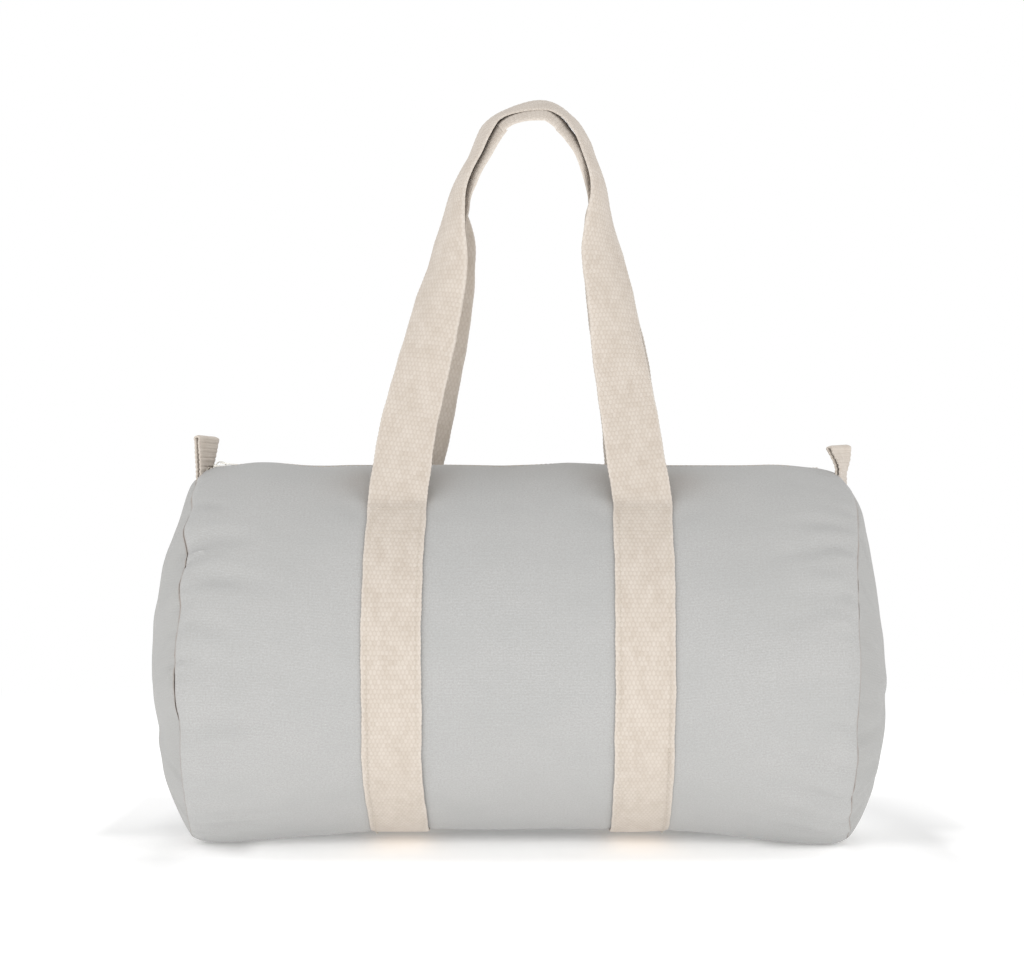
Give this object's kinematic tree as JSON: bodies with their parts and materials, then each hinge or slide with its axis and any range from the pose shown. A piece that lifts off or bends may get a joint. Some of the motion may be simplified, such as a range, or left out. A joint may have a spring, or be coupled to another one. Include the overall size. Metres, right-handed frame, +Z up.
{
  "type": "barrel bag",
  "caption": "Canvas barrel duffel bag lying on its side, with two tall webbing carry handles, a zipped top mouth and short end tabs.",
  "frame": {"origin": "on the floor under the middle of the bag, at the bottom centre of its bounding box", "axes": "+X along the barrel, +Z up, the front of the bag faces -Y"},
  "size_m": [0.4886, 0.2548, 0.4981],
  "materials": {
    "canvas": "plain woven cotton canvas, light grey",
    "webbing": "coarse ribbed cotton webbing, cream",
    "cotton_tape": "fine woven cotton tape, pale cream",
    "zip_teeth": "moulded coil, cream",
    "zip_metal": "satin nickel"
  },
  "bodies": {
    "root": {"body_panel": "canvas", "left_end_panel": "canvas", "right_end_panel": "canvas", "left_seam_binding": "cotton_tape", "right_seam_binding": "cotton_tape", "zip_end_left": "cotton_tape", "zip_end_right": "cotton_tape", "zip_top_stops": "zip_metal", "zip_bottom_stop": "zip_metal", "front_strap_left": "webbing", "front_strap_right": "webbing", "back_strap_left": "webbing", "back_strap_right": "webbing"},
    "front_handle": {"front_handle": "webbing"},
    "back_handle": {"back_handle": "webbing"},
    "front_mouth": {"front_mouth_panel": "canvas", "zip_tape_front": "cotton_tape", "zip_teeth_front": "zip_teeth"},
    "back_mouth": {"back_mouth_panel": "canvas", "zip_tape_back": "cotton_tape", "zip_teeth_back": "zip_teeth"},
    "slider": {"zip_slider": "zip_metal"},
    "pull": {"zip_pull": "zip_metal"},
    "left_tab": {"left_tab": "webbing"},
    "right_tab": {"right_tab": "webbing"}
  },
  "joints": [
    {"name": "front_handle_swing", "type": "hinge", "parent": "root", "child": "front_handle", "pos_m": [0, -0.07484, 0.22953], "axis": [1, 0, 0], "range_deg": [0, 135]},
    {"name": "back_handle_swing", "type": "hinge", "parent": "root", "child": "back_handle", "pos_m": [0, 0.07484, 0.22953], "axis": [-1, 0, 0], "range_deg": [0, 135]},
    {"name": "front_mouth_fold", "type": "hinge", "parent": "root", "child": "front_mouth", "pos_m": [0, -0.04606, 0.24292], "axis": [1, 0, 0], "range_deg": [0, 80]},
    {"name": "back_mouth_fold", "type": "hinge", "parent": "root", "child": "back_mouth", "pos_m": [0, 0.04606, 0.24292], "axis": [-1, 0, 0], "range_deg": [0, 80]},
    {"name": "zip_slide", "type": "slide", "parent": "root", "child": "slider", "axis": [1, 0, 0], "range_m": [0, 0.388]},
    {"name": "pull_swing", "type": "hinge", "parent": "slider", "child": "pull", "pos_m": [-0.2, 0, 0.25295], "axis": [0, -1, 0], "range_deg": [0, 105]},
    {"name": "left_tab_bend", "type": "hinge", "parent": "root", "child": "left_tab", "pos_m": [-0.217, 0, 0.24602], "axis": [0, -1, 0], "range_deg": [0, 100]},
    {"name": "right_tab_bend", "type": "hinge", "parent": "root", "child": "right_tab", "pos_m": [0.217, 0, 0.24602], "axis": [0, 1, 0], "range_deg": [0, 100]}
  ]
}
